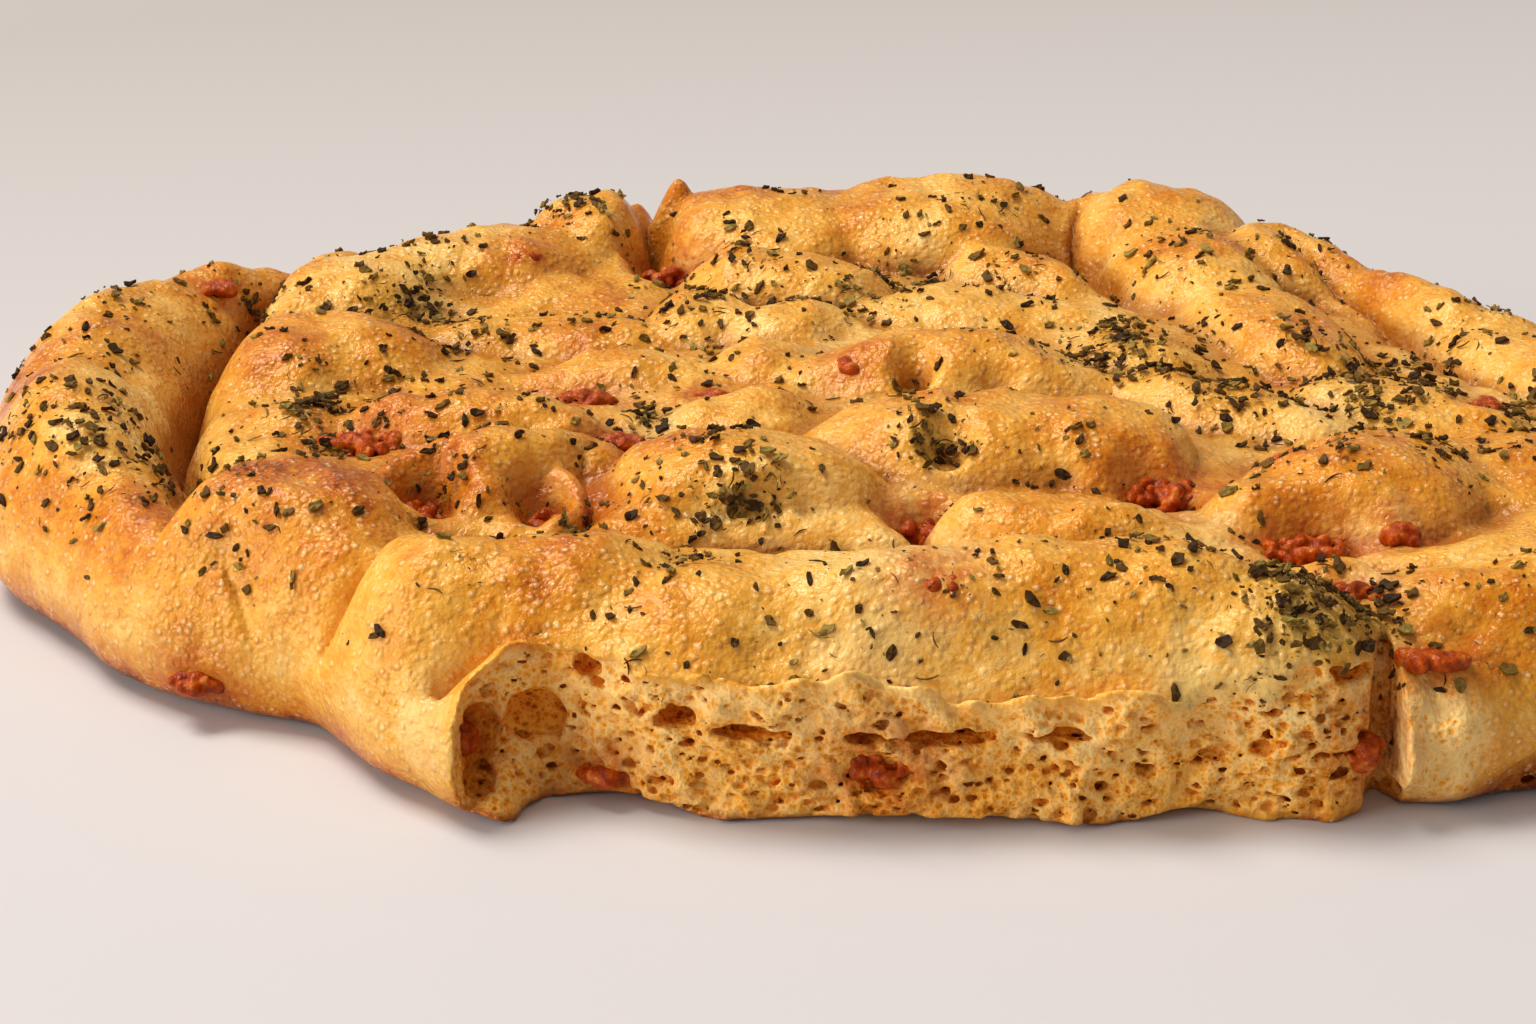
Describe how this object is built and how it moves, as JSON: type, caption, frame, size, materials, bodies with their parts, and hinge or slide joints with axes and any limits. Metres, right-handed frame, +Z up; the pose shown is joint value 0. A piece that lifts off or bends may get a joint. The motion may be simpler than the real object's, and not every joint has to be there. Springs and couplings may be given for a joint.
{
  "type": "fougasse",
  "caption": "Flat hearth bread with puffed, slashed crust, embedded tomato pieces and a broken-off front that shows open crumb.",
  "frame": {"origin": "middle of the loaf's bounding box, on the plane of the flat underside", "axes": "+Z up from the flat underside, +X along the loaf's long way, -Y towards the broken face"},
  "size_m": [0.305, 0.2221, 0.0394],
  "materials": {
    "bread": "baked oiled crust, golden to amber, with pale open crumb on the broken face",
    "tomato": "moist baked tomato flesh",
    "herbs": "dried herb flakes, dull and curled"
  },
  "bodies": {
    "root": {"loaf": "bread", "tomato_piece_01": "tomato", "tomato_piece_02": "tomato", "tomato_piece_03": "tomato", "tomato_piece_04": "tomato", "tomato_piece_05": "tomato", "tomato_piece_06": "tomato", "tomato_piece_07": "tomato", "tomato_piece_08": "tomato", "tomato_piece_09": "tomato", "tomato_piece_10": "tomato", "tomato_piece_11": "tomato", "tomato_piece_12": "tomato", "tomato_piece_13": "tomato", "tomato_piece_14": "tomato", "tomato_piece_15": "tomato", "tomato_piece_16": "tomato", "tomato_piece_17": "tomato", "tomato_piece_18": "tomato", "tomato_piece_19": "tomato", "tomato_piece_20": "tomato", "tomato_piece_21": "tomato", "tomato_piece_22": "tomato", "tomato_piece_23": "tomato", "tomato_piece_24": "tomato"}
  },
  "joints": []
}
